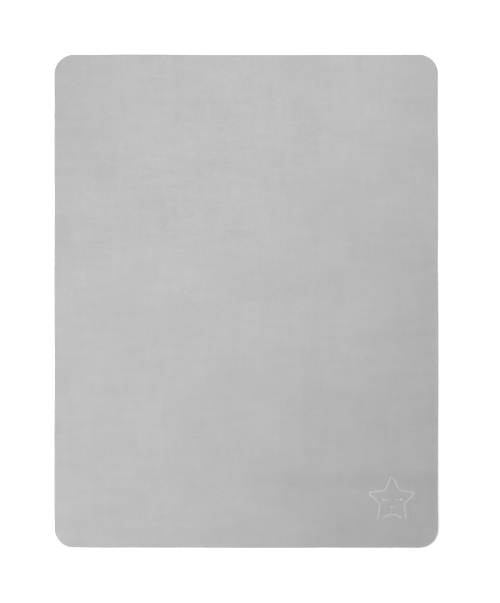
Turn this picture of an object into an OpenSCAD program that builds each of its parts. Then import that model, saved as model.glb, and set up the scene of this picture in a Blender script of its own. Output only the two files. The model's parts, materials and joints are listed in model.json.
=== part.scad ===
// Two-ply fleece blanket, sewn inside out, turned and closed, with an embroidered star in one corner.
// It lies flat with its face up: X across, Y up its length, Z up from the floor.
// The origin is at floor level under the middle of the blanket.
// The cloth folds in half across its width, so each ply has a lower and an upper half.

/* [Blanket] */
// Finished width, side to side
blanket_w = 700; // [500:10:1000]
// Finished length, bottom edge to top edge
blanket_l = 900; // [600:10:1300]
// Radius of the four corners
corner_r = 35; // [20:1:80]
// Thickness of one ply, with its pile
ply_t = 2.8; // [1.8:0.1:4]

/* [Fold] */
// Height of the fold line's axis above the face
fold_rise = 2.2; // [0.8:0.1:4]
// Gap between the two halves along the fold line
fold_gap = 0.8; // [0.6:0.1:2]

/* [Joining seam] */
// Thickness of the sewing thread
thread_d = 0.5; // [0.3:0.05:0.8]
// Distance from the blanket's edge to the seam
seam_inset = 2.2; // [1.8:0.1:4]
// Length of the gap that the blanket is turned through
turning_gap = 100; // [60:5:150]
// Distance from the fold line to the near end of that gap
turning_start = 120; // [80:5:200]
// Spacing of the hand stitches that close the gap
closing_pitch = 5; // [3:0.5:8]

/* [Star] */
// Circle that the star's tips lie on
star_r = 46; // [36:0.5:70]
// Inner corners' radius as a share of the tips' radius
star_waist = 0.49; // [0.42:0.01:0.6]
// Distances from the side and bottom edges to the star's middle
star_inset = [84, 86.5]; // [70:0.5:160]
// Distance from a tip at which its rounding begins
tip_rounding = 6.5; // [6:0.5:9]
// Width of the embroidered outline
outline_w = 2.2; // [1.2:0.1:3]
// Width of the embroidered face lines
face_line_w = 1.7; // [1:0.1:2.4]
// Height of the embroidery above the face
embroidery_h = 0.6; // [0.3:0.1:1]
// Distance between the eyes' middles
eye_spacing = 23; // [16:1:30]
// Length of a closed eye
eye_l = 13; // [8:0.5:16]
// Width of the mouth
mouth_w = 8; // [5:0.5:12]
// Thickness of the non-woven patch behind the embroidery
backing_t = 0.3; // [0.2:0.05:0.5]
// Margin of that patch outside the star's tips
backing_margin = 6; // [3:1:12]

/* [Care label] */
// Width of the label tape
label_w = 30; // [20:1:40]
// Length of the label
label_l = 50; // [30:1:70]
// Thickness of the label tape
label_t = 0.25; // [0.15:0.05:0.4]
// Distances from the side and top edges to the label's middle
label_inset = [58, 110]; // [40:1:200]
// Length of one label stitch
label_stitch_l = 2.4; // [1.5:0.1:3.5]
// Number of stitches across each end of the label
label_stitches_across = 8; // [5:1:9]

/* [Hidden] */
$fn = 64;

fleece_colour = [0.73, 0.73, 0.73];
thread_colour = [0.80, 0.80, 0.80];
backing_colour = [0.95, 0.95, 0.93];
label_colour = [0.92, 0.92, 0.90];

blanket_t = 2 * ply_t;
// Height of the fold's axis, which runs along X. Folded over, the two faces lie twice fold_rise
// apart, which has to clear the embroidery.
fold_axis_z = assert(2 * fold_rise > embroidery_h) blanket_t + fold_rise;
// The corners' centres, and with them the ends of the straight edges
corner_x = blanket_w / 2 - corner_r;
corner_y = blanket_l / 2 - corner_r;
// The seam's channel is a little larger than its thread
channel_w = thread_d + 0.3;
star_centre = [blanket_w / 2 - star_inset[0], star_inset[1] - blanket_l / 2];
bobbin_t = 0.3;
// The backing and the bobbin thread press this deep into the back ply
backing_pocket = backing_t + bobbin_t + 0.1;
backing_r = star_r + backing_margin;
// The label presses into the back ply, and its stitches lie under it
label_stitch_t = 0.28;
label_pocket = label_stitch_t + label_t + 0.07;
label_centre = [label_inset[0] - blanket_w / 2, blanket_l / 2 - label_inset[1]];
label_row_inset = 4;
// Distances from an inner corner at which its rounding begins
waist_rounding = 5;
base_rounding = 12;
// Where the open ends of the outline's lines lie, as shares of a straight edge of the star
tip_opening = 0.11;
foot_end = 0.94;
base_end = 0.38;
// The face's middles above and below the star's middle, and the depths of its curves
eye_level = 3;
mouth_level = -11.5;
lid_depth = 2.4;
mouth_depth = 1.7;
// Each lash: where it leaves the lid as a share of the eye's length, its start's height, and its run
lashes = [[-0.44, -0.6, [-2.9, -2]], [-0.26, -1.7, [-1.9, -2.7]]];
closing_count = floor(turning_gap / closing_pitch);

// ---- Drawing stitched lines ----

function unit(v) = v / norm(v);

// The corner at b, rounded by a curve that starts and ends at a distance of reach
function round_corner(a, b, c, reach, steps = 8) =
    let (from = b + reach * unit(a - b), to = b + reach * unit(c - b))
    [for (i = [0:steps]) let (t = i / steps) pow(1 - t, 2) * from + 2 * t * (1 - t) * b + t * t * to];

// A point of the star: even numbers are tips and odd numbers are inner corners, from the top tip
function star_point(k) =
    (k % 2 == 0 ? star_r : star_r * star_waist) * [cos(90 + 36 * k), sin(90 + 36 * k)];

function between(a, b, share) = a + share * (b - a);

// The tangent at point i of a path
function path_tangent(path, i) =
    unit(path[min(i + 1, len(path) - 1)] - path[max(i - 1, 0)]);

// One side of a line of stitching
function path_side(path, offset_by) =
    [for (i = [0:len(path) - 1])
        let (t = path_tangent(path, i)) path[i] + offset_by * [-t[1], t[0]]];

function reversed(path) = [for (i = [len(path) - 1:-1:0]) path[i]];

// A flat line of stitching of the given width along a path
module stitched_line(path, width) {
    polygon(concat(path_side(path, width / 2), reversed(path_side(path, -width / 2))));
}

// Half of the outline: from just beside the top tip, down one side, to the foot
function star_side_path() = concat(
    [between(star_point(0), star_point(1), tip_opening)],
    round_corner(star_point(0), star_point(1), star_point(2), waist_rounding),
    round_corner(star_point(1), star_point(2), star_point(3), tip_rounding),
    round_corner(star_point(2), star_point(3), star_point(4), waist_rounding),
    [between(star_point(3), star_point(4), foot_end)]
);

// The line between the feet, open at both ends
function star_base_path() = concat(
    [between(star_point(4), star_point(5), base_end)],
    round_corner(star_point(4), star_point(5), star_point(6), base_rounding),
    [between(star_point(6), star_point(5), base_end)]
);

// A shallow bowl of the given width and depth around the origin
function bowl_path(width, depth, steps = 10) =
    [for (i = [0:steps]) let (u = 2 * i / steps - 1) [u * width / 2, depth * (u * u - 1)]];

// The left eye's closed lid and its two lashes, around the eye's middle
module eye_shape() {
    stitched_line(bowl_path(eye_l, lid_depth), face_line_w);
    for (lash = lashes)
        let (root = [lash[0] * eye_l, lash[1]]) stitched_line([root, root + lash[2]], face_line_w);
}

module mouth_shape() {
    translate([0, mouth_level]) stitched_line(bowl_path(mouth_w, mouth_depth), face_line_w);
}

// Puts a flat shape on the face as raised embroidery
module embroider(height = embroidery_h, level = blanket_t) {
    translate([star_centre[0], star_centre[1], level]) linear_extrude(height) children();
}

module place_eye(side) {
    mirror([side, 0]) translate([-eye_spacing / 2, eye_level]) eye_shape();
}

// ---- The cloth ----

// Section of a ply outside the corners' centres, with its rolled edge
module ply_section() {
    reach = corner_r - ply_t / 2;
    translate([0, -ply_t / 2]) square([reach, ply_t]);
    intersection() {
        translate([reach, 0]) circle(d = ply_t);
        translate([reach, -ply_t / 2]) square([ply_t, ply_t]);
    }
}

// Sweeps a section round the edge of the upper half. The section's x runs outward from the line
// through the corners' centres, and its y is the height.
module sweep_edge() {
    for (side = [0, 1]) mirror([side, 0, 0]) {
        translate([corner_x, corner_y, 0]) {
            rotate([90, 0, 0]) linear_extrude(corner_y - fold_gap / 2) children();
            rotate_extrude(angle = 90) children();
        }
    }
    translate([-corner_x, corner_y, 0]) rotate([90, 0, 90]) linear_extrude(2 * corner_x) children();
}

module seam_channel() {
    translate([0, 0, ply_t]) sweep_edge()
        translate([corner_r - seam_inset - channel_w / 2, -channel_w / 2]) square(channel_w);
}

// The upper half of one ply, from its lower face's height
module half_ply(level) {
    difference() {
        union() {
            translate([0, 0, level + ply_t / 2]) sweep_edge() ply_section();
            translate([-corner_x, fold_gap / 2, level])
                cube([2 * corner_x, corner_y - fold_gap / 2, ply_t]);
        }
        seam_channel();
    }
}

module half_seam() {
    translate([0, 0, ply_t]) sweep_edge()
        translate([corner_r - seam_inset, 0]) circle(d = thread_d);
}

module front_ply_upper() {
    color(fleece_colour) half_ply(ply_t);
}

module back_ply_upper() {
    color(fleece_colour) difference() {
        half_ply(0);
        translate([label_centre[0] - label_w / 2 - 0.5, label_centre[1] - label_l / 2 - 0.5, -1])
            cube([label_w + 1, label_l + 1, label_pocket + 1]);
    }
}

module front_ply_lower() {
    color(fleece_colour) mirror([0, 1, 0]) half_ply(ply_t);
}

module back_ply_lower() {
    color(fleece_colour) difference() {
        mirror([0, 1, 0]) half_ply(0);
        translate([star_centre[0], star_centre[1], ply_t - backing_pocket])
            cylinder(r = backing_r + 1, h = backing_pocket + 1);
    }
}

// ---- Seams ----

// The seam is left open along the turning gap
module joining_seam_upper() {
    color(thread_colour) difference() {
        half_seam();
        translate([-blanket_w / 2, turning_start, 0]) cube([corner_r, turning_gap, blanket_t]);
    }
}

module joining_seam_lower() {
    color(thread_colour) mirror([0, 1, 0]) half_seam();
}

// Hand stitches that draw the two rolled edges together along the turning gap
module closing_stitches() {
    stitch_x = seam_inset * 0.45 - blanket_w / 2;
    stitch_l = ply_t * 0.9;
    color(thread_colour) for (i = [0:closing_count - 1])
        translate([stitch_x, turning_start + (i + 0.5) * closing_pitch, ply_t - stitch_l / 2])
            cylinder(d = thread_d, h = stitch_l);
}

// ---- Embroidery ----

module star_line_left() {
    color(thread_colour) embroider() stitched_line(star_side_path(), outline_w);
}

module star_line_right() {
    color(thread_colour) embroider() mirror([1, 0]) stitched_line(star_side_path(), outline_w);
}

module star_line_base() {
    color(thread_colour) embroider() stitched_line(star_base_path(), outline_w);
}

module left_eye() {
    color(thread_colour) embroider() place_eye(0);
}

module right_eye() {
    color(thread_colour) embroider() place_eye(1);
}

module mouth() {
    color(thread_colour) embroider() mouth_shape();
}

module embroidery_backing() {
    color(backing_colour) translate([star_centre[0], star_centre[1], ply_t - backing_t])
        cylinder(r = backing_r, h = backing_t);
}

// The underside of every line of stitching, narrower than the top
module bobbin_thread() {
    color(backing_colour) embroider(bobbin_t, ply_t - backing_t - bobbin_t) {
        for (side = [0, 1]) mirror([side, 0]) stitched_line(star_side_path(), outline_w / 2);
        stitched_line(star_base_path(), outline_w / 2);
        for (side = [0, 1]) place_eye(side);
        mouth_shape();
    }
}

// ---- Care label ----

module care_label() {
    color(label_colour) translate([
        label_centre[0] - label_w / 2, label_centre[1] - label_l / 2, label_stitch_t
    ]) cube([label_w, label_l, label_t]);
}

module label_stitches() {
    pitch = (label_w - 2) / label_stitches_across;
    row_y = label_l / 2 - label_row_inset;
    color(thread_colour) for (end = [-1, 1], i = [0:label_stitches_across - 1])
        translate([
            label_centre[0] + (i - (label_stitches_across - 1) / 2) * pitch - label_stitch_l / 2,
            label_centre[1] + end * row_y - thread_d / 2,
            0
        ]) cube([label_stitch_l, thread_d, label_stitch_t]);
}

front_ply_lower();
back_ply_lower();
joining_seam_lower();
star_line_left();
star_line_right();
star_line_base();
left_eye();
right_eye();
mouth();
embroidery_backing();
bobbin_thread();
front_ply_upper();
back_ply_upper();
joining_seam_upper();
closing_stitches();
care_label();
label_stitches();
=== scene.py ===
import json
import math

import bmesh
import bpy
import numpy as np
from bpy.props import FloatProperty, FloatVectorProperty, IntProperty, PointerProperty
from bpy.types import Operator, Panel, PropertyGroup
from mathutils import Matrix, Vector


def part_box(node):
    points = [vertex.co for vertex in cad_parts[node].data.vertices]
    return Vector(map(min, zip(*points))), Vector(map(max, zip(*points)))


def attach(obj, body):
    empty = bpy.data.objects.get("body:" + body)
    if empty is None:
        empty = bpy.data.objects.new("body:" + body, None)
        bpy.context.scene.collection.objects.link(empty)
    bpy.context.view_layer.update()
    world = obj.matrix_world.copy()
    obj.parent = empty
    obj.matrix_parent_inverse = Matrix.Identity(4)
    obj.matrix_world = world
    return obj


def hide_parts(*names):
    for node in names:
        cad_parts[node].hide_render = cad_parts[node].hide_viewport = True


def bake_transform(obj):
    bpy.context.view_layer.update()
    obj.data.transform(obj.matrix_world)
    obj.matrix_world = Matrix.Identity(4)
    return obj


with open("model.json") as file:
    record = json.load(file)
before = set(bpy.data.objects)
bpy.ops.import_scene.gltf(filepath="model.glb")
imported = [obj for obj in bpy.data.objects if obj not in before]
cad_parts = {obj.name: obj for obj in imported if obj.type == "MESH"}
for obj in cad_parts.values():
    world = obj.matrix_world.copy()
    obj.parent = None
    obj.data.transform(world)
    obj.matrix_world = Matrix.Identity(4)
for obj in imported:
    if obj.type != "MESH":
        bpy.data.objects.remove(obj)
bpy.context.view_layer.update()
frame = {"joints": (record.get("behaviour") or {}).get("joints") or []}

bl_info = {
    "name": "Fleece Blanket",
    "version": (1, 0, 0),
    "blender": (4, 5, 0),
    "location": "View3D > Sidebar > Blanket",
    "description": "A two-ply fleece blanket with a star embroidered in one corner",
    "category": "Add Mesh",
}

MM = 0.001


def box_of(*nodes):
    """The lowest and highest corners of several CAD nodes together."""
    corners = [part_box(node) for node in nodes]
    low = [min(c[0][axis] for c in corners) for axis in range(3)]
    high = [max(c[1][axis] for c in corners) for axis in range(3)]
    return Vector(low), Vector(high)


CLOTH_LOW, CLOTH_HIGH = box_of("back_ply_lower", "front_ply_lower", "back_ply_upper", "front_ply_upper")
HALF_WIDTH = (CLOTH_HIGH.x - CLOTH_LOW.x) / 2
HALF_LENGTH = (CLOTH_HIGH.y - CLOTH_LOW.y) / 2
PLY = (CLOTH_HIGH.z - CLOTH_LOW.z) / 2
FACE = CLOTH_HIGH.z
PATCH_LOW, PATCH_HIGH = box_of("embroidery_backing")
STAR_CENTRE = (PATCH_LOW + PATCH_HIGH) / 2
LABEL_LOW, LABEL_HIGH = box_of("care_label")
GAP_LOW, GAP_HIGH = box_of("closing_stitches")
FOLD_JOINT = next(joint for joint in frame["joints"] if joint["name"] == "fold")
FOLD_Y = FOLD_JOINT["pos_m"][1]

# Creases from folding: one runs across at CREASE_Y, and one runs down at CREASE_X from CREASE_TOP to it
CREASE_X, CREASE_Y, CREASE_TOP = 0.103, -0.325, -0.10

# Where the star's lines stop, as shares of the line from one corner to the next
TIP_OPENING, FOOT_END, BASE_END = 0.11, 0.94, 0.38

# Heights above the star's middle
EYE_LEVEL, MOUTH_LEVEL = 3 * MM, -11.5 * MM

# How deep a satin stitch bites into the pile, and how far it leans as a share of the pitch
STITCH_BITE, STITCH_LEAN = 0.12 * MM, 0.24

# Room between the front ply's inner face and the backing
BACKING_ROOM = 0.02 * MM


# ---------------------------------------------------------------- sizes and colours


class BlanketCloth(PropertyGroup):
    corner_radius: FloatProperty(
        name="Corner radius", description="Radius of the four corners", default=35 * MM, unit="LENGTH"
    )
    grid: FloatProperty(
        name="Mesh spacing",
        description="Widest spacing of the cloth's mesh",
        default=6.5 * MM,
        unit="LENGTH",
    )
    fine_grid: FloatProperty(
        name="Fine spacing", description="Mesh spacing round the star", default=1.4 * MM, unit="LENGTH"
    )
    fold_reach: FloatProperty(
        name="Fold reach",
        description="How far the bend reaches on each side of the fold line",
        default=5 * MM,
        unit="LENGTH",
    )
    lift: FloatProperty(
        name="Lift", description="Greatest height of the soft waves", default=3.0 * MM, unit="LENGTH"
    )
    rim_rise: FloatProperty(
        name="Rim rise",
        description="How much the turned-in margin raises the edge",
        default=0.42 * MM,
        unit="LENGTH",
    )
    pucker: FloatProperty(
        name="Seam pucker",
        description="Height of the small puckers along the seam",
        default=0.13 * MM,
        unit="LENGTH",
    )
    outline_sway: FloatProperty(
        name="Outline sway",
        description="How far the edge wanders from straight",
        default=0.3 * MM,
        unit="LENGTH",
    )
    seam_inset: FloatProperty(
        name="Seam inset",
        description="Distance from the edge to the joining seam",
        default=2.2 * MM,
        unit="LENGTH",
    )
    stitch_length: FloatProperty(
        name="Stitch length",
        description="Length of one stitch of the seam",
        default=2.8 * MM,
        unit="LENGTH",
    )
    thread: FloatProperty(
        name="Thread", description="Thickness of the sewing thread", default=0.4 * MM, unit="LENGTH"
    )
    ray_steps: IntProperty(name="Corner steps", description="Mesh steps round a corner", default=14)


class BlanketStar(PropertyGroup):
    tip_radius: FloatProperty(
        name="Tip radius", description="Circle that the star's tips lie on", default=46 * MM, unit="LENGTH"
    )
    waist: FloatProperty(
        name="Waist", description="Inner corners' radius as a share of the tips' radius", default=0.49
    )
    tip_rounding: FloatProperty(
        name="Tip rounding", description="Where a tip's rounding begins", default=6.5 * MM, unit="LENGTH"
    )
    waist_rounding: FloatProperty(
        name="Waist rounding",
        description="Where an inner corner's rounding begins",
        default=5 * MM,
        unit="LENGTH",
    )
    base_rounding: FloatProperty(
        name="Base rounding",
        description="Where the rounding between the feet begins",
        default=12 * MM,
        unit="LENGTH",
    )
    outline_width: FloatProperty(
        name="Outline width", description="Width of the satin outline", default=2.45 * MM, unit="LENGTH"
    )
    face_width: FloatProperty(
        name="Face line width", description="Width of the eyes and mouth", default=2.1 * MM, unit="LENGTH"
    )
    thread: FloatProperty(
        name="Embroidery thread", description="Thickness of one strand", default=0.5 * MM, unit="LENGTH"
    )
    pitch: FloatProperty(
        name="Stitch pitch",
        description="Distance from one satin stitch to the next",
        default=0.4 * MM,
        unit="LENGTH",
    )
    rise: FloatProperty(
        name="Stitch rise", description="How far a satin stitch arches", default=0.55 * MM, unit="LENGTH"
    )
    sink: FloatProperty(
        name="Sink", description="How far the stitches pull the cloth down", default=0.4 * MM, unit="LENGTH"
    )
    eye_spacing: FloatProperty(
        name="Eye spacing", description="Distance between the eyes' middles", default=23 * MM, unit="LENGTH"
    )
    eye_length: FloatProperty(
        name="Eye length", description="Length of a closed eye", default=13 * MM, unit="LENGTH"
    )
    mouth_width: FloatProperty(
        name="Mouth width", description="Width of the mouth", default=8 * MM, unit="LENGTH"
    )


class BlanketFinish(PropertyGroup):
    fleece: FloatVectorProperty(
        name="Fleece", description="Colour of both plies", subtype="COLOR", default=(0.438, 0.438, 0.438)
    )
    embroidery: FloatVectorProperty(
        name="Embroidery",
        description="Colour of the star's thread",
        subtype="COLOR",
        default=(0.68, 0.68, 0.68),
    )
    sewing: FloatVectorProperty(
        name="Sewing thread",
        description="Colour of the seam's thread",
        subtype="COLOR",
        default=(0.5, 0.5, 0.5),
    )
    backing: FloatVectorProperty(
        name="Backing",
        description="Colour of the non-woven patch",
        subtype="COLOR",
        default=(0.85, 0.85, 0.83),
    )
    label: FloatVectorProperty(
        name="Label", description="Colour of the label tape", subtype="COLOR", default=(0.86, 0.86, 0.84)
    )


class BlanketStage(PropertyGroup):
    floor: FloatVectorProperty(
        name="Floor", description="Colour of the floor", subtype="COLOR", default=(0.93, 0.93, 0.93)
    )
    lens: FloatProperty(name="Lens", description="Focal length in millimetres", default=100.0)
    camera_height: FloatProperty(
        name="Camera height",
        description="Height of the camera above the floor",
        default=3.063,
        unit="LENGTH",
    )
    key_power: FloatProperty(
        name="Key power", description="Power of the overhead strip light in watts", default=31.0
    )
    side_strength: FloatProperty(
        name="Side strength", description="Strength of the light from the upper left", default=0.5
    )
    fill: FloatProperty(name="Fill", description="Strength of the even light from all round", default=0.3)
    backdrop_radius: FloatProperty(
        name="Backdrop radius",
        description="Radius of the round floor and its wall",
        default=14.0,
        unit="LENGTH",
    )
    backdrop_glow: FloatProperty(name="Backdrop glow", description="Brightness of the wall", default=0.775)


# ---------------------------------------------------------------- relief of the cloth


def soft_step(t):
    """A smooth rise from 0 to 1."""
    t = np.clip(t, 0.0, 1.0)
    return t * t * (3 - 2 * t)


def soft_waves(seed, longest, shortest, count=36):
    """A smooth random surface of about unit height, as a function of x and y."""
    rng = np.random.default_rng(seed)
    lengths = np.exp(rng.uniform(math.log(shortest), math.log(longest), count))
    turns = rng.uniform(0, 2 * math.pi, count)
    phases = rng.uniform(0, 2 * math.pi, count)
    heights = lengths / math.sqrt((lengths**2).sum() / 2)

    def surface(x, y):
        total = np.zeros_like(x)
        for length, turn, phase, height in zip(lengths, turns, phases, heights):
            along = x * math.cos(turn) + y * math.sin(turn)
            total += height * np.cos(2 * math.pi * along / length + phase)
        return total

    return surface


BROAD_WAVES = soft_waves(11, 0.48, 0.15)
SMALL_WAVES = soft_waves(12, 0.09, 0.03)
EDGE_WAVES = soft_waves(13, 0.018, 0.008)
SWAY_WAVES = soft_waves(14, 0.40, 0.09)
FLUTTER_WAVES = soft_waves(15, 0.15, 0.06)


def cloth_lift(x, y, cloth):
    """How far the soft waves lift both plies off the floor. The waves of the two halves nest when folded."""
    mirrored = 2 * FOLD_Y - y
    broad = BROAD_WAVES(x, y) - BROAD_WAVES(x, mirrored)
    small = SMALL_WAVES(x, y) - SMALL_WAVES(x, mirrored)
    flutter = FLUTTER_WAVES(x, y) - FLUTTER_WAVES(x, mirrored)
    flutter = flutter * np.exp(-np.maximum(edge_distance(x, y, cloth.corner_radius), 0) / (30 * MM))
    return cloth.lift * (0.5 + 0.5 * np.tanh(0.42 * broad + 0.035 * small + 0.2 * flutter))


def meeting_level(x, y, cloth):
    """Height of the front ply's inner face, where the back ply, the seam and the backing meet it."""
    return FACE - PLY + cloth_lift(x, y, cloth)


def edge_distance(x, y, radius):
    """Distance from the blanket's edge, inward."""
    dx = np.maximum(np.abs(x) - (HALF_WIDTH - radius), 0)
    dy = np.maximum(np.abs(y) - (HALF_LENGTH - radius), 0)
    return radius - np.hypot(dx, dy)


def rim_relief(x, y, cloth):
    """The turned-in margin's rise and the seam's small puckers."""
    inward = edge_distance(x, y, cloth.corner_radius)
    rise = cloth.rim_rise * soft_step((4.6 * MM - inward) / (3.0 * MM))
    pucker = cloth.pucker * EDGE_WAVES(x, y) * np.exp(-np.abs(inward - 3 * MM) / (4 * MM))
    return rise + pucker


def nearest(x, y, points, reach):
    """Distance to the nearest of the points, or a large one beyond their box grown by reach."""
    away = np.full(x.shape, 1.0)
    low, high = points.min(axis=0) - reach, points.max(axis=0) + reach
    near = (x > low[0]) & (x < high[0]) & (y > low[1]) & (y < high[1])
    spots = np.stack([x[near], y[near]], axis=1)
    gaps = np.hypot(spots[:, None, 0] - points[None, :, 0], spots[:, None, 1] - points[None, :, 1])
    away[near] = gaps.min(axis=1) if len(spots) else away[near]
    return away


def face_relief(x, y, cloth, star):
    """Height of the face above its soft waves: the rim and the puckers, and the pull of the embroidery."""
    stitched = np.concatenate([spaced(path, 1 * MM)[0] for path, _ in star_paths(star).values()])
    away = nearest(x, y, stitched, 14 * MM)
    groove = star.sink * np.exp(-((away / (1.9 * MM)) ** 2))
    quilt = 0.22 * MM * np.exp(-(((away - 5.5 * MM) / (3.2 * MM)) ** 2))
    return rim_relief(x, y, cloth) - groove + quilt


def crease_depth(x, y):
    """The soft creases that folding for storage leaves in the face."""
    across = 0.25 * MM * np.exp(-(((y - CREASE_Y) / (9 * MM)) ** 2)) * soft_step((x + 0.05) / 0.12)
    down = 0.12 * MM * soft_step((x - CREASE_X + 6 * MM) / (12 * MM))
    down = down * soft_step((CREASE_X + 0.09 - x) / 0.08)
    return across + down * soft_step((y - CREASE_Y) / 0.04) * soft_step((CREASE_TOP - y) / 0.05)


def face_height(x, y, cloth, star):
    """Height of the face above the floor."""
    return FACE + cloth_lift(x, y, cloth) + face_relief(x, y, cloth, star) - crease_depth(x, y)


def label_dent(x, y):
    """How far the label presses into the back."""
    dx = np.maximum(np.maximum(LABEL_LOW.x - x, x - LABEL_HIGH.x), 0)
    dy = np.maximum(np.maximum(LABEL_LOW.y - y, y - LABEL_HIGH.y), 0)
    return 0.75 * MM * soft_step(1 - (np.hypot(dx, dy) - 3 * MM) / (9 * MM))


def patch_pocket(x, y):
    """How far the backing and its thread press into the back ply."""
    away = np.hypot(x - STAR_CENTRE.x, y - STAR_CENTRE.y)
    radius = (PATCH_HIGH.x - PATCH_LOW.x) / 2
    return 0.75 * MM * soft_step(1 - (away - radius - 2 * MM) / (6 * MM))


# ---------------------------------------------------------------- the star's lines


def unit(vector):
    """The vector at a length of 1."""
    return vector / np.linalg.norm(vector)


def round_corner(before, corner, after, reach, steps=8):
    """A corner rounded by a curve that starts and ends at a distance of reach."""
    start, end = corner + reach * unit(before - corner), corner + reach * unit(after - corner)
    t = np.linspace(0, 1, steps + 1)[:, None]
    return (1 - t) ** 2 * start + 2 * t * (1 - t) * corner + t**2 * end


def star_point(k, star):
    """Even numbers are tips and odd numbers are inner corners, from the top tip."""
    radius = star.tip_radius * (1 if k % 2 == 0 else star.waist)
    turn = math.radians(90 + 36 * k)
    return radius * np.array([math.cos(turn), math.sin(turn)])


def star_side(star):
    """From just beside the top tip, down the left side, to the foot."""
    point = [star_point(k, star) for k in range(5)]
    return np.concatenate([
        [point[0] + TIP_OPENING * (point[1] - point[0])],
        round_corner(point[0], point[1], point[2], star.waist_rounding),
        round_corner(point[1], point[2], point[3], star.tip_rounding),
        round_corner(point[2], point[3], point[4], star.waist_rounding),
        [point[3] + FOOT_END * (point[4] - point[3])],
    ])


def star_base(star):
    """The line between the feet, open at both ends."""
    foot, middle, other = (star_point(k, star) for k in (4, 5, 6))
    return np.concatenate([
        [foot + BASE_END * (middle - foot)],
        round_corner(foot, middle, other, star.base_rounding),
        [other + BASE_END * (middle - other)],
    ])


def bowl(width, depth, steps=10):
    """A shallow bowl of the given width and depth."""
    u = np.linspace(-1, 1, steps + 1)
    return np.stack([u * width / 2, depth * (u * u - 1)], axis=1)


def eye_lines(star):
    """A closed lid and its two lashes, around the left eye's middle."""
    outer, inner = -0.44 * star.eye_length, -0.26 * star.eye_length
    return [
        bowl(star.eye_length, 2.4 * MM),
        np.array([[outer, -0.6 * MM], [outer - 2.9 * MM, -2.6 * MM]]),
        np.array([[inner, -1.7 * MM], [inner - 1.9 * MM, -4.4 * MM]]),
    ]


def star_paths(star):
    """Each stitched line by name, in the row frame, with its width."""
    mirror = np.array([-1.0, 1.0])
    centre = np.array([STAR_CENTRE.x, STAR_CENTRE.y])
    paths = {
        "star_line_left": (star_side(star), star.outline_width),
        "star_line_right": (star_side(star) * mirror, star.outline_width),
        "star_line_base": (star_base(star), star.outline_width),
        "mouth": (bowl(star.mouth_width, 1.7 * MM) + [0, MOUTH_LEVEL], star.face_width),
    }
    for number, line in enumerate(eye_lines(star)):
        width = star.face_width * (1 if number == 0 else 0.8)
        placed = line + [-star.eye_spacing / 2, EYE_LEVEL]
        paths[f"left_eye.{number}"] = (placed, width)
        paths[f"right_eye.{number}"] = (placed * mirror, width)
    return {name: (path + centre, width) for name, (path, width) in paths.items()}


def spaced(path, step):
    """Points at even steps along a path, with their tangents."""
    path = np.asarray(path, float)
    lengths = np.r_[0, np.cumsum(np.linalg.norm(np.diff(path, axis=0), axis=1))]
    count = max(2, int(round(lengths[-1] / step)) + 1)
    at = np.linspace(0, lengths[-1], count)
    points = np.stack([np.interp(at, lengths, path[:, axis]) for axis in range(path.shape[1])], axis=1)
    tangents = np.gradient(points, axis=0)
    return points, tangents / np.linalg.norm(tangents, axis=1, keepdims=True)


# ---------------------------------------------------------------- mesh building


def add_piece(name, vertices, faces, uv=None, tone=None):
    """A smooth-shaded mesh object with outward normals. uv and tone are given per vertex."""
    mesh = bpy.data.meshes.new(name)
    mesh.from_pydata(vertices.tolist(), [], faces)
    work = bmesh.new()
    work.from_mesh(mesh)
    bmesh.ops.recalc_face_normals(work, faces=work.faces)
    work.to_mesh(mesh)
    work.free()
    mesh.shade_smooth()
    corners = np.zeros(len(mesh.loops), int)
    mesh.loops.foreach_get("vertex_index", corners)
    if uv is not None:
        mesh.uv_layers.new(name="flat").data.foreach_set("uv", uv[corners].astype(np.float32).ravel())
    if tone is not None:
        layer = mesh.attributes.new("tone", "FLOAT", "POINT")
        layer.data.foreach_set("value", tone.astype(np.float32))
    piece = bpy.data.objects.new(name, mesh)
    bpy.context.collection.objects.link(piece)
    return piece


def cloth_lines(low, high, step, zones):
    """Grid lines from low to high, closer together inside each zone (start, end, step)."""
    breaks = sorted({low, high, *(min(max(end, low), high) for zone in zones for end in zone[:2])})
    lines = [low]
    for start, end in zip(breaks, breaks[1:]):
        middle = (start + end) / 2
        here = min([step] + [zone[2] for zone in zones if zone[0] < middle < zone[1]])
        count = max(1, math.ceil((end - start) / here - 1e-6))
        lines.extend(np.linspace(start, end, count + 1)[1:])
    return np.array(lines)


def edge_rays(xs, ys, corner_steps):
    """The rays that run outward from the inner rectangle's edge, anticlockwise from the right side's foot.

    Returns the grid vertex that each starts at, and its direction in degrees.
    """
    columns, rows = len(xs), len(ys)
    sides = [
        [(columns - 1) * rows + j for j in range(rows)],
        [i * rows + rows - 1 for i in reversed(range(columns))],
        list(reversed(range(rows))),
        [i * rows for i in range(columns)],
    ]
    starts, turns = [], []
    for number, vertices in enumerate(sides):
        corner = [90 * k / corner_steps for k in range(1, corner_steps)]
        starts += vertices + [vertices[-1]] * len(corner)
        turns += [90.0 * number] * len(vertices) + [90 * number + more for more in corner]
    return np.array(starts), np.array(turns)


def with_midpoints(values, wrap=0.0):
    """A closed run of values with one more between each pair. wrap is added to the first after the last."""
    following = np.roll(values, -1, axis=0)
    following[-1] = following[-1] + wrap
    return np.stack([values, (values + following) / 2], axis=1).reshape(-1, *values.shape[1:])


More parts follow.
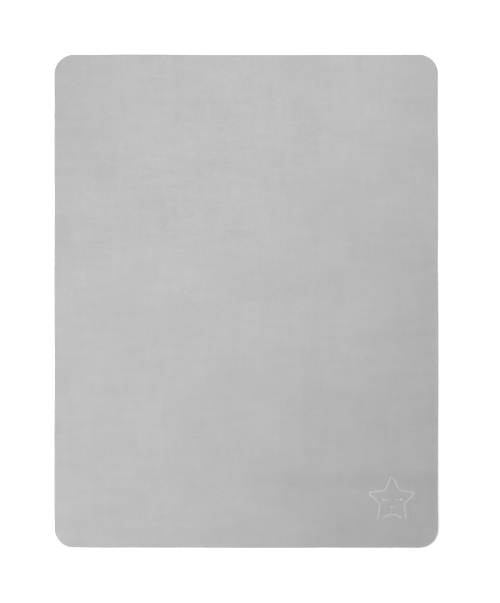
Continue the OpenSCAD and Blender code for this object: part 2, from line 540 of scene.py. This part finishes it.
def ply_piece(name, cloth, outer_height, inner_height):
    """One ply. Its outer face, rolled edge and inner face are one skin."""
    radius, roll = cloth.corner_radius, PLY / 2
    star_reach = 56 * MM
    zones_x = [(STAR_CENTRE.x - star_reach, STAR_CENTRE.x + star_reach, cloth.fine_grid)]
    zones_y = [
        (STAR_CENTRE.y - star_reach, STAR_CENTRE.y + star_reach, cloth.fine_grid),
        (FOLD_Y - 1.2 * cloth.fold_reach, FOLD_Y + 1.2 * cloth.fold_reach, 0.5 * MM),
    ]
    xs = cloth_lines(radius - HALF_WIDTH, HALF_WIDTH - radius, cloth.grid, zones_x)
    ys = cloth_lines(radius - HALF_LENGTH, HALF_LENGTH - radius, cloth.grid, zones_y)
    grid = np.stack(np.meshgrid(xs, ys, indexing="ij"), axis=2).reshape(-1, 2)
    starts, turns = edge_rays(xs, ys, cloth.ray_steps)
    core = with_midpoints(grid[starts])
    radians = np.radians(with_midpoints(turns, wrap=360.0))
    outward = np.stack([np.cos(radians), np.sin(radians)], axis=1)

    def at(reach):
        """The rays' points at a distance from the inner rectangle, with the outline's sway."""
        flat = core + outward * reach
        sway = SWAY_WAVES(flat[:, 0], flat[:, 1]) + 0.3 * EDGE_WAVES(flat[:, 0], flat[:, 1])
        sway = np.clip(sway, -1.2, 0.5) * cloth.outline_sway * (reach / radius) ** 3
        return flat + outward * sway[:, None]

    rings, flats = [], []
    for reach in [MM * r for r in (8, 16, 22, 26, 28.5, 30.2, 31.4, 32.5)] + [radius - roll]:
        spot = at(reach)
        rings.append(np.c_[spot, outer_height(spot[:, 0], spot[:, 1])])
        flats.append(core + outward * reach)
    shoulder = at(radius - roll)
    top = outer_height(shoulder[:, 0], shoulder[:, 1])
    bottom = inner_height(shoulder[:, 0], shoulder[:, 1])
    for turn in np.radians([67.5, 45, 22.5, 0, -22.5, -45, -67.5, -90]):
        spot = shoulder + outward * roll * math.cos(turn)
        height = (top + bottom) / 2 + (top - bottom) / 2 * math.sin(turn)
        rings.append(np.c_[spot, height])
        flats.append(core + outward * (radius - roll + roll * (math.pi / 2 - turn)))
    for reach in (26 * MM, 13 * MM):
        spot = at(reach)
        rings.append(np.c_[spot, inner_height(spot[:, 0], spot[:, 1])])
        flats.append(core + outward * (2 * radius - reach))

    outer = np.c_[grid, outer_height(grid[:, 0], grid[:, 1])]
    inner = np.c_[grid, inner_height(grid[:, 0], grid[:, 1])]
    vertices = np.concatenate([outer, inner, *rings])
    uv = np.concatenate([grid, grid, *flats])

    rows, faces = len(ys), []
    for i in range(len(xs) - 1):
        for j in range(rows - 1):
            a, b = i * rows + j, (i + 1) * rows + j
            faces.append((a, b, b + 1, a + 1))
            faces.append(tuple(v + len(grid) for v in (a + 1, b + 1, b, a)))
    rays = len(core)
    loops = [2 * len(grid) + k * rays + np.arange(rays) for k in range(len(rings))]
    for near, far in zip(loops, loops[1:]):
        for p in range(rays):
            q = (p + 1) % rays
            faces.append((int(near[p]), int(far[p]), int(far[q]), int(near[q])))
    for border, loop in ((starts, loops[0]), (starts + len(grid), loops[-1])):
        for p in range(len(border)):
            following = border[(p + 1) % len(border)]
            corners = (border[p], loop[2 * p], loop[2 * p + 1], loop[(2 * p + 2) % rays], following)
            faces.append(tuple(dict.fromkeys(int(v) for v in corners)))
    return add_piece(name, vertices, faces, uv=uv)


def tubes(lines, radius, sides=6, taper=True):
    """One closed tube along each line. lines is (count, points, 3). Returns vertices, faces and uv."""
    lines = np.asarray(lines, float)
    count, points, _ = lines.shape
    tangents = np.gradient(lines, axis=1)
    tangents /= np.linalg.norm(tangents, axis=2, keepdims=True) + 1e-12
    up = np.where(np.abs(tangents[..., 2:3]) > 0.9, [1.0, 0.0, 0.0], [0.0, 0.0, 1.0])
    across = np.cross(tangents, up)
    across /= np.linalg.norm(across, axis=2, keepdims=True)
    rise = np.cross(across, tangents)
    turn = np.linspace(0, 2 * math.pi, sides, endpoint=False)
    thick = np.full(points, radius)
    if taper:
        thick[0] = thick[-1] = 0.55 * radius
    ring = np.cos(turn)[:, None] * across[..., None, :] + np.sin(turn)[:, None] * rise[..., None, :]
    vertices = lines[:, :, None, :] + thick[None, :, None, None] * ring
    lengths = np.concatenate(
        [np.zeros((count, 1)), np.cumsum(np.linalg.norm(np.diff(lines, axis=1), axis=2), axis=1)], axis=1
    )
    uv = np.stack(np.broadcast_arrays(lengths[:, :, None], turn[None, None, :] / (2 * math.pi)), axis=3)
    faces = []
    for n in range(count):
        start = n * points * sides
        for k in range(points - 1):
            a, b = start + k * sides, start + (k + 1) * sides
            faces += [(a + s, a + (s + 1) % sides, b + (s + 1) % sides, b + s) for s in range(sides)]
        last = start + (points - 1) * sides
        faces.append(tuple(range(start, start + sides)))
        faces.append(tuple(range(last, last + sides)))
    return vertices.reshape(-1, 3), faces, uv.reshape(-1, 2)


def satin_strands(path, width, star, height, seed):
    """Satin stitches across a path. Each strand goes from side to side, and every other one leans back."""
    rng = np.random.default_rng(seed)
    centres, tangents = spaced(path, star.pitch)
    sideways = np.stack([-tangents[:, 1], tangents[:, 0]], axis=1)
    count = len(centres)
    across = np.linspace(-1, 1, 7)
    ends = np.minimum(np.arange(count), np.arange(count)[::-1])
    wide = width / 2 * np.clip(0.55 + 0.15 * ends, 0, 1) * rng.uniform(0.93, 1.05, count)
    lean = np.where(np.arange(count) % 2 == 0, 1, -1) * STITCH_LEAN * star.pitch
    spot = (
        centres[:, None, :]
        + sideways[:, None, :] * (wide[:, None] * across)[:, :, None]
        + tangents[:, None, :] * (lean[:, None] * across)[:, :, None]
    )
    ground = height(centres[:, 0], centres[:, 1])
    arch = star.rise * np.sqrt(1 - 0.98 * across**2) * rng.uniform(0.9, 1.06, count)[:, None]
    z = ground[:, None] + arch - STITCH_BITE
    return np.concatenate([spot, z[:, :, None]], axis=2)


def strand_piece(name, lines, radius, seed, sides=6):
    """A piece of separate strands, each with its own tone."""
    vertices, faces, uv = tubes(lines, radius, sides)
    per_strand = len(vertices) // len(lines)
    tones = np.random.default_rng(seed).uniform(0, 1, len(lines))
    return add_piece(name, vertices, faces, uv=uv, tone=np.repeat(tones, per_strand))


# ---------------------------------------------------------------- finishes


def shader(name, colour, roughness, **sockets):
    """A new material with its Principled shader. Even values go straight onto the shader's own sockets."""
    material = bpy.data.materials.new(name)
    material.use_nodes = True
    surface = material.node_tree.nodes["Principled BSDF"]
    surface.inputs["Base Color"].default_value = (*colour, 1)
    surface.inputs["Roughness"].default_value = roughness
    for socket, value in sockets.items():
        surface.inputs[socket.replace("_", " ")].default_value = value
    return material, material.node_tree, surface


def add_node(tree, kind, **settings):
    """A node with its settings: names that the node has are set on it, and the rest are input sockets."""
    node = tree.nodes.new(kind)
    for name, value in settings.items():
        if hasattr(node, name):
            setattr(node, name, value)
        else:
            node.inputs[name.replace("_", " ").title()].default_value = value
    return node


def flat_coordinates(tree, scale, turn=0.0):
    """Coordinates that stay with the cloth, in metres times scale."""
    source = add_node(tree, "ShaderNodeUVMap", uv_map="flat")
    mapping = add_node(tree, "ShaderNodeMapping")
    mapping.inputs["Scale"].default_value = scale
    mapping.inputs["Rotation"].default_value = (0, 0, turn)
    tree.links.new(source.outputs["UV"], mapping.inputs["Vector"])
    return mapping.outputs["Vector"]


def noise(tree, vector, detail=2.0, roughness=0.5):
    """Smooth random values from 0 to 1, with one hump for each unit of the vector."""
    node = add_node(tree, "ShaderNodeTexNoise", scale=1.0, detail=detail, roughness=roughness)
    tree.links.new(vector, node.inputs["Vector"])
    return node.outputs["Fac"]


def ranged(tree, value, low, high, to_low=0.0, to_high=1.0):
    """A value moved smoothly from one range to another, and held at its ends."""
    node = add_node(tree, "ShaderNodeMapRange", interpolation_type="SMOOTHSTEP")
    for socket, number in (("From Min", low), ("From Max", high), ("To Min", to_low), ("To Max", to_high)):
        node.inputs[socket].default_value = number
    tree.links.new(value, node.inputs["Value"])
    return node.outputs["Result"]


def combined(tree, operation, first, second):
    """Two values, either of which may be a number, put together by a Math node."""
    node = add_node(tree, "ShaderNodeMath", operation=operation)
    for socket, value in zip(node.inputs, (first, second)):
        if isinstance(value, (int, float)):
            socket.default_value = value
        else:
            tree.links.new(value, socket)
    return node.outputs[0]


def shaded_colour(tree, colour, level):
    """The colour made lighter or darker by level, where 1 leaves it as it is."""
    node = add_node(tree, "ShaderNodeVectorMath", operation="SCALE")
    node.inputs[0].default_value = colour
    tree.links.new(level, node.inputs["Scale"])
    return node.outputs["Vector"]


def add_bump(tree, surface, height, distance):
    """Gives a shader fine relief, where distance is the height of a value of 1."""
    node = add_node(tree, "ShaderNodeBump")
    node.inputs["Strength"].default_value = 1.0
    node.inputs["Distance"].default_value = distance
    tree.links.new(height, node.inputs["Height"])
    tree.links.new(node.outputs["Normal"], surface.inputs["Normal"])


def crease_shade(tree):
    """Painted shade along the creases, from 0 to 1: how much the colour is darkened there."""
    wobble = noise(tree, flat_coordinates(tree, (25, 25, 1)), detail=1.0)
    place = add_node(tree, "ShaderNodeSeparateXYZ")
    tree.links.new(flat_coordinates(tree, (1, 1, 1)), place.inputs["Vector"])
    sway = combined(tree, "MULTIPLY", combined(tree, "SUBTRACT", wobble, 0.5), 0.03)
    x, y = (combined(tree, "ADD", place.outputs[axis], sway) for axis in ("X", "Y"))
    from_line = combined(tree, "ABSOLUTE", combined(tree, "SUBTRACT", y, CREASE_Y), 0.0)
    across = ranged(tree, from_line, 0.0, 0.022, 1.0, 0.0)
    across = combined(tree, "MULTIPLY", across, ranged(tree, x, -0.05, 0.07))
    down = combined(tree, "MULTIPLY", ranged(tree, x, CREASE_X - 0.006, CREASE_X + 0.006, 0.0, 0.5),
                    ranged(tree, x, CREASE_X + 0.01, CREASE_X + 0.11, 1.0, 0.0))
    down = combined(tree, "MULTIPLY", down, ranged(tree, y, CREASE_TOP - 0.08, CREASE_TOP, 1.0, 0.0))
    down = combined(tree, "MULTIPLY", down, ranged(tree, y, CREASE_Y - 0.02, CREASE_Y + 0.01))
    return combined(tree, "MAXIMUM", across, down)


def fleece_finish(colour):
    """Short brushed pile: fine grains with painted shade between them and fibres that lie along the rows,
    with painted shade where the fibres dip.

    The nap leans another way in soft patches, there are sparse raised flecks towards the top, and painted
    shade darkens the colour along the creases.
    """
    material, tree, surface = shader(
        "brushed_fleece", colour, 0.95, Sheen_Weight=0.35, Sheen_Roughness=0.5, Specular_IOR_Level=0.1
    )
    grains = add_node(tree, "ShaderNodeTexVoronoi", feature="SMOOTH_F1", scale=1.0, smoothness=0.7)
    tree.links.new(flat_coordinates(tree, (850, 1250, 1)), grains.inputs["Vector"])
    pile = ranged(tree, grains.outputs["Distance"], 0.1, 0.75, 1.0, 0.0)
    fibres = noise(tree, flat_coordinates(tree, (1100, 3600, 1), 0.15), detail=3.0, roughness=0.7)
    clouds = noise(tree, flat_coordinates(tree, (7, 9, 1)), detail=3.0, roughness=0.55)
    rows = noise(tree, flat_coordinates(tree, (14, 70, 1)), detail=2.0, roughness=0.6)
    columns = noise(tree, flat_coordinates(tree, (60, 11, 1)), detail=2.0, roughness=0.6)
    nap = noise(tree, flat_coordinates(tree, (110, 300, 1)), detail=2.0, roughness=0.6)

    flecks = ranged(tree, noise(tree, flat_coordinates(tree, (80, 380, 1)), detail=0.0), 0.68, 0.80)
    patches = ranged(tree, noise(tree, flat_coordinates(tree, (9, 14, 1)), detail=1.0), 0.38, 0.60)
    place = add_node(tree, "ShaderNodeSeparateXYZ")
    tree.links.new(flat_coordinates(tree, (1, 1, 1)), place.inputs["Vector"])
    patches = combined(tree, "MULTIPLY", patches, ranged(tree, place.outputs["Y"], -0.35, 0.1, 0.15, 1.0))
    flecks = combined(tree, "MULTIPLY", flecks, patches)

    # Painted shade: the colour is darker between the grains, and below it is darker where the fibres dip.
    # Clouds, rows, columns and nap are tone that differs at random.
    level = ranged(tree, pile, 0.0, 1.0, 0.945, 1.03)
    for value, spread in ((clouds, 0.03), (rows, 0.018), (columns, 0.014), (nap, 0.015), (fibres, 0.03)):
        level = combined(tree, "MULTIPLY", level, ranged(tree, value, 0.25, 0.75, 1 - spread, 1 + spread))
    level = combined(tree, "ADD", level, combined(tree, "MULTIPLY", flecks, 0.11))
    # Painted shade: the colour is darker along the creases.
    level = combined(tree, "SUBTRACT", level, combined(tree, "MULTIPLY", crease_shade(tree), 0.045))
    tree.links.new(shaded_colour(tree, colour, level), surface.inputs["Base Color"])

    height = combined(tree, "MULTIPLY", pile, 0.5)
    height = combined(tree, "ADD", height, combined(tree, "MULTIPLY", fibres, 0.5))
    height = combined(tree, "ADD", height, combined(tree, "MULTIPLY", nap, 0.4))
    height = combined(tree, "ADD", height, combined(tree, "MULTIPLY", flecks, 1.2))
    add_bump(tree, surface, height, 0.3 * MM)
    return material


def thread_finish(name, colour, roughness, twist):
    """Twisted thread: a fine spiral along each strand, with some strands a little lighter than others."""
    material, tree, surface = shader(name, colour, roughness, Sheen_Weight=0.15, Sheen_Roughness=0.4)
    spiral = add_node(tree, "ShaderNodeTexWave", wave_type="BANDS", bands_direction="DIAGONAL", scale=1.0)
    tree.links.new(flat_coordinates(tree, (twist, 4, 1)), spiral.inputs["Vector"])
    tone = add_node(tree, "ShaderNodeAttribute", attribute_name="tone")
    level = ranged(tree, tone.outputs["Fac"], 0.0, 1.0, 0.92, 1.08)
    level = combined(tree, "MULTIPLY", level, ranged(tree, spiral.outputs["Fac"], 0.0, 1.0, 0.94, 1.03))
    tree.links.new(shaded_colour(tree, colour, level), surface.inputs["Base Color"])
    add_bump(tree, surface, spiral.outputs["Fac"], 0.06 * MM)
    return material


def backing_finish(colour):
    """Non-woven: fibres pressed flat in every direction, thicker and thinner in patches."""
    material, tree, surface = shader("non_woven_backing", colour, 0.8, Sheen_Weight=0.1)
    one_way = noise(tree, flat_coordinates(tree, (250, 2200, 1), 0.5), detail=2.0)
    other_way = noise(tree, flat_coordinates(tree, (250, 2200, 1), -0.9), detail=2.0)
    fibres = combined(tree, "MAXIMUM", one_way, other_way)
    patches = noise(tree, flat_coordinates(tree, (180, 180, 1)), detail=3.0)
    fibre_level = ranged(tree, fibres, 0.4, 0.7, 0.9, 1.04)
    level = combined(tree, "MULTIPLY", fibre_level, ranged(tree, patches, 0.3, 0.7, 0.94, 1.03))
    tree.links.new(shaded_colour(tree, colour, level), surface.inputs["Base Color"])
    add_bump(tree, surface, fibres, 0.08 * MM)
    return material


def label_finish(colour):
    """Satin tape: fine ribs across, with a slight gloss."""
    material, tree, surface = shader("satin_tape", colour, 0.42, Sheen_Weight=0.2, Sheen_Roughness=0.3)
    ribs = add_node(tree, "ShaderNodeTexWave", wave_type="BANDS", bands_direction="Y", scale=1.0)
    tree.links.new(flat_coordinates(tree, (1, 420, 1)), ribs.inputs["Vector"])
    streaks = noise(tree, flat_coordinates(tree, (60, 900, 1)), detail=2.0)
    rib_level = ranged(tree, ribs.outputs["Fac"], 0, 1, 0.95, 1.02)
    level = combined(tree, "MULTIPLY", rib_level, ranged(tree, streaks, 0.3, 0.7, 0.96, 1.02))
    tree.links.new(shaded_colour(tree, colour, level), surface.inputs["Base Color"])
    add_bump(tree, surface, ribs.outputs["Fac"], 0.04 * MM)
    return material


def floor_finish(colour):
    """Matte studio paper."""
    glow = {"Emission_Color": (1, 1, 1, 1), "Emission_Strength": 0.4}
    return shader("studio_paper", colour, 0.9, Specular_IOR_Level=0.1, **glow)[0]


def dress(piece, material, slot, *nodes):
    """Gives a piece its finish and hides the CAD nodes that it stands for. slot is not used."""
    piece.data.materials.append(material)
    if nodes:
        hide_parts(*nodes)
    return piece


def bend(piece):
    """Bakes the piece's placement into its mesh."""
    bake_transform(piece)


# ---------------------------------------------------------------- operators


class BLANKET_OT_camera(Operator):
    """Place the camera square above the blanket"""

    bl_idname = "blanket.camera"
    bl_label = "Place Camera"

    def execute(self, context):
        stage = context.scene.blanket_stage
        camera = bpy.data.cameras.new("studio_camera")
        camera.lens = stage.lens
        camera.clip_end = 20
        holder = bpy.data.objects.new("studio_camera", camera)
        holder.location = (7 * MM, -0.7 * MM, stage.camera_height)
        context.collection.objects.link(holder)
        context.scene.camera = holder
        return {"FINISHED"}


class BLANKET_OT_front_ply(Operator):
    """Cut and lay the face ply, with its rolled edge and the dents that the embroidery makes"""

    bl_idname = "blanket.front_ply"
    bl_label = "Front Ply"

    def execute(self, context):
        scene = context.scene
        cloth, star = scene.blanket_cloth, scene.blanket_star

        def outer(x, y):
            return face_height(x, y, cloth, star)

        def inner(x, y):
            return meeting_level(x, y, cloth)

        piece = ply_piece("front_ply", cloth, outer, inner)
        material = fleece_finish(scene.blanket_finish.fleece)
        dress(piece, material, "fleece", "front_ply_lower", "front_ply_upper")
        bend(piece)
        return {"FINISHED"}


class BLANKET_OT_back_ply(Operator):
    """Cut and lay the back ply, with the room that the backing and the label press into it"""

    bl_idname = "blanket.back_ply"
    bl_label = "Back Ply"

    def execute(self, context):
        scene = context.scene
        cloth = scene.blanket_cloth

        def outer(x, y):
            height = cloth_lift(x, y, cloth) - rim_relief(x, y, cloth) + label_dent(x, y)
            return CLOTH_LOW.z + np.maximum(height, 0.0)

        def inner(x, y):
            return meeting_level(x, y, cloth) - patch_pocket(x, y)

        piece = ply_piece("back_ply", cloth, outer, inner)
        dress(piece, bpy.data.materials["brushed_fleece"], "fleece", "back_ply_lower", "back_ply_upper")
        bend(piece)
        return {"FINISHED"}


class BLANKET_OT_seams(Operator):
    """Sew the plies together round the edge, and close the gap that they were turned through"""

    bl_idname = "blanket.seams"
    bl_label = "Seams"

    def execute(self, context):
        scene = context.scene
        cloth = scene.blanket_cloth
        material = thread_finish("sewing_thread", scene.blanket_finish.sewing, 0.6, 900)

        radius, inset = cloth.corner_radius, cloth.seam_inset
        turn = np.radians(np.linspace(0, 90, 16))
        arc = (radius - inset) * np.stack([np.cos(turn), np.sin(turn)], axis=1)
        centre = np.array([HALF_WIDTH - radius, HALF_LENGTH - radius])
        corner = arc + centre
        flip_x, flip_y = np.array([-1, 1]), np.array([1, -1])
        side = inset - HALF_WIDTH
        end_margin = 3 * MM
        route = np.concatenate([
            [[side, GAP_LOW.y - end_margin]],
            corner * flip_x * flip_y,
            (corner * flip_y)[::-1],
            corner,
            (corner * flip_x)[::-1],
            [[side, GAP_HIGH.y + end_margin]],
        ])
        points = spaced(route, cloth.stitch_length / 4)[0]
        middle = meeting_level(points[:, 0], points[:, 1], cloth)
        thread_wave = 0.35 * MM
        wave = thread_wave * np.sin(np.arange(len(points)) * math.pi / 2)
        line = np.c_[points, middle + wave]
        vertices, faces, uv = tubes(line[None], cloth.thread / 2, taper=False)
        seam = add_piece("joining_seam", vertices, faces, uv=uv, tone=np.full(len(vertices), 0.5))
        dress(seam, material, "sewing_thread", "joining_seam_lower", "joining_seam_upper")
        bend(seam)

        closing_pitch = 5 * MM
        count = int(round((GAP_HIGH.y - GAP_LOW.y) / closing_pitch)) + 1
        across = np.linspace(-1, 1, 9)
        y = np.linspace(GAP_LOW.y, GAP_HIGH.y, count)
        level = meeting_level(np.full(count, -HALF_WIDTH), y, cloth)
        lines = np.stack([
            -HALF_WIDTH + 1.1 * MM - np.broadcast_to(1.0 * MM * np.cos(across * 1.35), (count, 9)),
            y[:, None] + 1.3 * MM * across,
            level[:, None] + 1.35 * MM * np.sin(across * 1.35),
        ], axis=2)
        closing = strand_piece("hand_closing", lines, cloth.thread * 0.6, 31)
        dress(closing, material, "sewing_thread", "closing_stitches")
        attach(closing, "upper_half")
        return {"FINISHED"}


class BLANKET_OT_embroidery(Operator):
    """Embroider the star's outline and its face in satin stitch"""

    bl_idname = "blanket.embroidery"
    bl_label = "Embroidery"

    def execute(self, context):
        scene = context.scene
        cloth, star = scene.blanket_cloth, scene.blanket_star
        material = thread_finish("embroidery_thread", scene.blanket_finish.embroidery, 0.42, 1400)

        def height(x, y):
            return face_height(x, y, cloth, star)

        strands = {}
        for number, (name, (path, width)) in enumerate(star_paths(star).items()):
            lines = satin_strands(path, width, star, height, 50 + number)
            strands.setdefault(name.split(".")[0], []).append(lines)
        for number, (name, lines) in enumerate(strands.items()):
            piece = strand_piece(f"satin_{name}", np.concatenate(lines), star.thread / 2, 70 + number)
            dress(piece, material, "embroidery_thread", name)
            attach(piece, "lower_half")
        return {"FINISHED"}


class BLANKET_OT_backing(Operator):
    """Put the non-woven patch and the bobbin thread behind the embroidery"""

    bl_idname = "blanket.backing"
    bl_label = "Backing"

    def execute(self, context):
        scene = context.scene
        cloth, star = scene.blanket_cloth, scene.blanket_star
        radius = (PATCH_HIGH.x - PATCH_LOW.x) / 2
        thickness = PATCH_HIGH.z - PATCH_LOW.z
        rings, spokes = 14, 72
        reach = np.linspace(0, radius, rings + 1)[1:]
        turn = np.linspace(0, 2 * math.pi, spokes, endpoint=False)
        cut = 1 + 0.012 * np.sin(5 * turn) + 0.008 * np.sin(11 * turn + 1)
        x = STAR_CENTRE.x + (reach[:, None] * np.cos(turn) * cut).ravel()
        y = STAR_CENTRE.y + (reach[:, None] * np.sin(turn) * cut).ravel()
        x, y = np.r_[STAR_CENTRE.x, x], np.r_[STAR_CENTRE.y, y]
        top = meeting_level(x, y, cloth) - BACKING_ROOM
        half = len(x)
        vertices = np.concatenate([np.c_[x, y, top], np.c_[x, y, top - thickness]])
        faces = []
        for k in range(spokes):
            n = (k + 1) % spokes
            faces += [(0, 1 + k, 1 + n), (half, half + 1 + n, half + 1 + k)]
            for ring in range(rings - 1):
                a, b = 1 + ring * spokes, 1 + (ring + 1) * spokes
                faces.append((a + k, b + k, b + n, a + n))
                faces.append((half + a + n, half + b + n, half + b + k, half + a + k))
            rim = 1 + (rings - 1) * spokes
            faces.append((rim + k, half + rim + k, half + rim + n, rim + n))
        patch = add_piece("backing_patch", vertices, faces, uv=vertices[:, :2])
        dress(patch, backing_finish(scene.blanket_finish.backing), "backing", "embroidery_backing")
        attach(patch, "lower_half")

        def under(x, y):
            return meeting_level(x, y, cloth) - BACKING_ROOM - thickness

        lines = []
        for number, (path, width) in enumerate(star_paths(star).values()):
            strands = satin_strands(path, width * 0.5, star, lambda x, y: np.zeros_like(x), 90 + number)
            ground = under(strands[:, 3, 0], strands[:, 3, 1])
            strands[:, :, 2] = ground[:, None] - 0.35 * strands[:, :, 2] - 0.1 * MM
            lines.append(strands)
        bobbin = strand_piece("bobbin_strands", np.concatenate(lines), 0.12 * MM, 99, sides=5)
        dress(bobbin, bpy.data.materials["sewing_thread"], "sewing_thread", "bobbin_thread")
        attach(bobbin, "lower_half")
        return {"FINISHED"}


class BLANKET_OT_label(Operator):
    """Sew the blank care label to the back"""

    bl_idname = "blanket.label"
    bl_label = "Care Label"

    def execute(self, context):
        scene = context.scene
        cloth, finish = scene.blanket_cloth, scene.blanket_finish
        width, length = LABEL_HIGH.x - LABEL_LOW.x, LABEL_HIGH.y - LABEL_LOW.y
        thickness = LABEL_HIGH.z - LABEL_LOW.z
        columns, rows = 25, 41
        u, v = np.meshgrid(np.linspace(0, 1, columns), np.linspace(0, 1, rows), indexing="ij")
        x = (LABEL_LOW.x + u * width).ravel()
        y = (LABEL_LOW.y + v * length).ravel()
        ripple = 0.05 * MM * SMALL_WAVES(3 * x, 3 * y)
        selvedge = 0.04 * MM * (np.exp(-((np.minimum(u, 1 - u) * width / (1.2 * MM)) ** 2))).ravel()
        outer = LABEL_LOW.z + cloth_lift(x, y, cloth) + ripple - selvedge
        vertices = np.concatenate([np.c_[x, y, outer], np.c_[x, y, outer + thickness + selvedge]])
        half, faces = columns * rows, []
        for i in range(columns - 1):
            for j in range(rows - 1):
                a, b = i * rows + j, (i + 1) * rows + j
                faces.append((a + 1, b + 1, b, a))
                faces.append((half + a, half + b, half + b + 1, half + a + 1))
        border = [i * rows for i in range(columns)]
        border += [(columns - 1) * rows + j for j in range(1, rows)]
        border += [i * rows + rows - 1 for i in reversed(range(columns - 1))]
        border += list(reversed(range(1, rows - 1)))
        for a, b in zip(border, border[1:] + border[:1]):
            faces.append((a, b, half + b, half + a))
        label = add_piece("blank_label", vertices, faces, uv=vertices[:, :2])
        dress(label, label_finish(finish.label), "label_tape", "care_label")
        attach(label, "upper_half")

        low, high = box_of("label_stitches")
        row_y = (low.y + cloth.thread / 2, high.y - cloth.thread / 2)
        count, along = 8, np.linspace(-1, 1, 7)
        centres = np.linspace(low.x + 1.2 * MM, high.x - 1.2 * MM, count)
        lines = []
        for y_row in row_y:
            for centre in centres:
                x_row = centre + 1.2 * MM * along
                lift = cloth_lift(x_row, np.full(7, y_row), cloth)
                loop = LABEL_LOW.z - 0.12 * MM + 0.25 * MM * np.abs(along) ** 4
                lines.append(np.c_[x_row, np.full(7, y_row), lift + loop])
        stitches = strand_piece("label_sewing", np.array(lines), cloth.thread * 0.38, 41)
        dress(stitches, bpy.data.materials["sewing_thread"], "sewing_thread", "label_stitches")
        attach(stitches, "upper_half")
        return {"FINISHED"}


class BLANKET_OT_stage(Operator):
    """Lay the pale floor and set the soft studio light"""

    bl_idname = "blanket.stage"
    bl_label = "Stage"

    def execute(self, context):
        scene = context.scene
        stage = scene.blanket_stage
        turn = np.linspace(0, 2 * math.pi, 64, endpoint=False)
        rim = stage.backdrop_radius * np.stack([np.cos(turn), np.sin(turn), 0 * turn], axis=1)
        floor = add_piece("floor", rim, [tuple(range(64))])
        floor.data.materials.append(floor_finish(stage.floor))

        wall = np.concatenate([rim + [0, 0, height] for height in (-0.5, 12.0)])
        faces = [(k, (k + 1) % 64, 64 + (k + 1) % 64, 64 + k) for k in range(64)]
        backdrop = add_piece("backdrop", wall, faces)
        glow = {"Emission_Color": (1, 1, 1, 1), "Emission_Strength": stage.backdrop_glow}
        backdrop.data.materials.append(shader("backdrop_paper", (0, 0, 0), 1.0, **glow)[0])
        backdrop.visible_diffuse = backdrop.visible_glossy = backdrop.visible_shadow = False

        lamp = bpy.data.lights.new("strip_light", "AREA")
        lamp.shape, lamp.size, lamp.size_y, lamp.energy = "RECTANGLE", 0.5, 5.0, stage.key_power
        holder = bpy.data.objects.new("strip_light", lamp)
        holder.location = (-0.13, 0.18, 1.1)
        holder.rotation_euler = (0, 0, math.radians(-28))
        context.collection.objects.link(holder)

        sun = bpy.data.lights.new("window_light", "SUN")
        sun.angle, sun.energy = math.radians(12), stage.side_strength
        holder = bpy.data.objects.new("window_light", sun)
        holder.rotation_euler = Vector((1.0, -0.7, -1.0)).to_track_quat("-Z", "Y").to_euler()
        context.collection.objects.link(holder)

        world = bpy.data.worlds.new("studio")
        world.use_nodes = True
        background = world.node_tree.nodes["Background"]
        background.inputs["Color"].default_value = (1, 1, 1, 1)
        background.inputs["Strength"].default_value = stage.fill
        scene.world = world
        scene.view_settings.view_transform = "Standard"
        return {"FINISHED"}


class BLANKET_PT_panel(Panel):
    """The steps that make the blanket"""

    bl_label = "Fleece Blanket"
    bl_space_type = "VIEW_3D"
    bl_region_type = "UI"
    bl_category = "Blanket"

    def draw(self, context):
        for operator in OPERATORS:
            self.layout.operator(operator.bl_idname)


OPERATORS = [
    BLANKET_OT_camera,
    BLANKET_OT_front_ply,
    BLANKET_OT_back_ply,
    BLANKET_OT_seams,
    BLANKET_OT_embroidery,
    BLANKET_OT_backing,
    BLANKET_OT_label,
    BLANKET_OT_stage,
]
GROUPS = {
    "blanket_cloth": BlanketCloth,
    "blanket_star": BlanketStar,
    "blanket_finish": BlanketFinish,
    "blanket_stage": BlanketStage,
}


def register():
    for group in GROUPS.values():
        bpy.utils.register_class(group)
    for name, group in GROUPS.items():
        setattr(bpy.types.Scene, name, PointerProperty(type=group))
    for kind in OPERATORS + [BLANKET_PT_panel]:
        bpy.utils.register_class(kind)


def unregister():
    for kind in [BLANKET_PT_panel] + OPERATORS[::-1]:
        bpy.utils.unregister_class(kind)
    for name, group in GROUPS.items():
        delattr(bpy.types.Scene, name)
        bpy.utils.unregister_class(group)


def main():
    register()
    bpy.ops.blanket.camera()
    bpy.ops.blanket.front_ply()
    bpy.ops.blanket.back_ply()
    bpy.ops.blanket.seams()
    bpy.ops.blanket.embroidery()
    bpy.ops.blanket.backing()
    bpy.ops.blanket.label()
    bpy.ops.blanket.stage()


if __name__ == "__main__":
    main()
